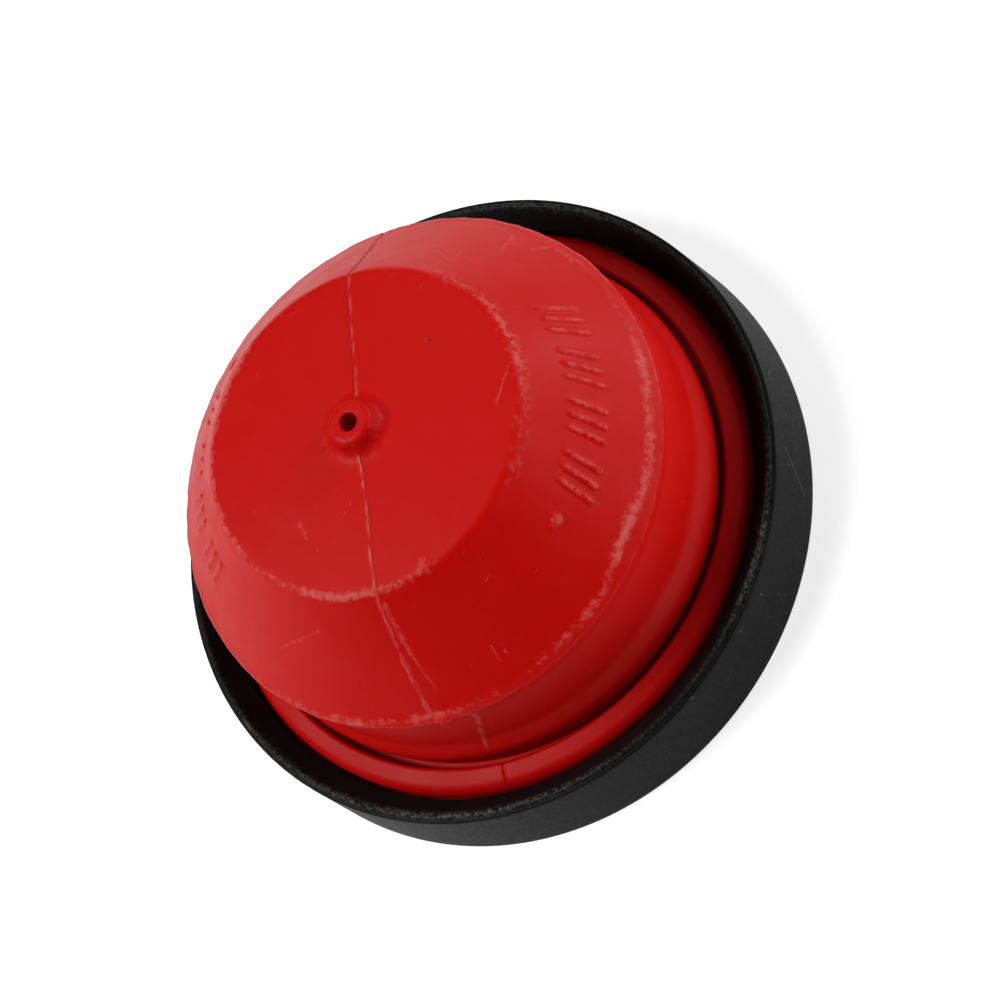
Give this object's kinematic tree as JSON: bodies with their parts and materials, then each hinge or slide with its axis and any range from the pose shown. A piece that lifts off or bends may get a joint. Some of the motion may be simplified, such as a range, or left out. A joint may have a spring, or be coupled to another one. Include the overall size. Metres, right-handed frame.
{
  "type": "primer bulb",
  "caption": "Press bulb that primes a small engine: hollow red rubber bulb with a vent nipple, trapped by its flange in a black ring.",
  "frame": {"origin": "centre of the ring's back face, which the part rests on", "axes": "+Z along the bulb's axis, from the open back to the vent nipple; +X and +Y are free, since the form is round"},
  "size_m": [0.0444, 0.0444, 0.0234],
  "materials": {
    "bulb_rubber": "satin moulded rubber with scuffs",
    "ring_plastic": "matte moulded black"
  },
  "bodies": {
    "root": {"bulb": "bulb_rubber", "retaining_ring": "ring_plastic"}
  },
  "joints": []
}
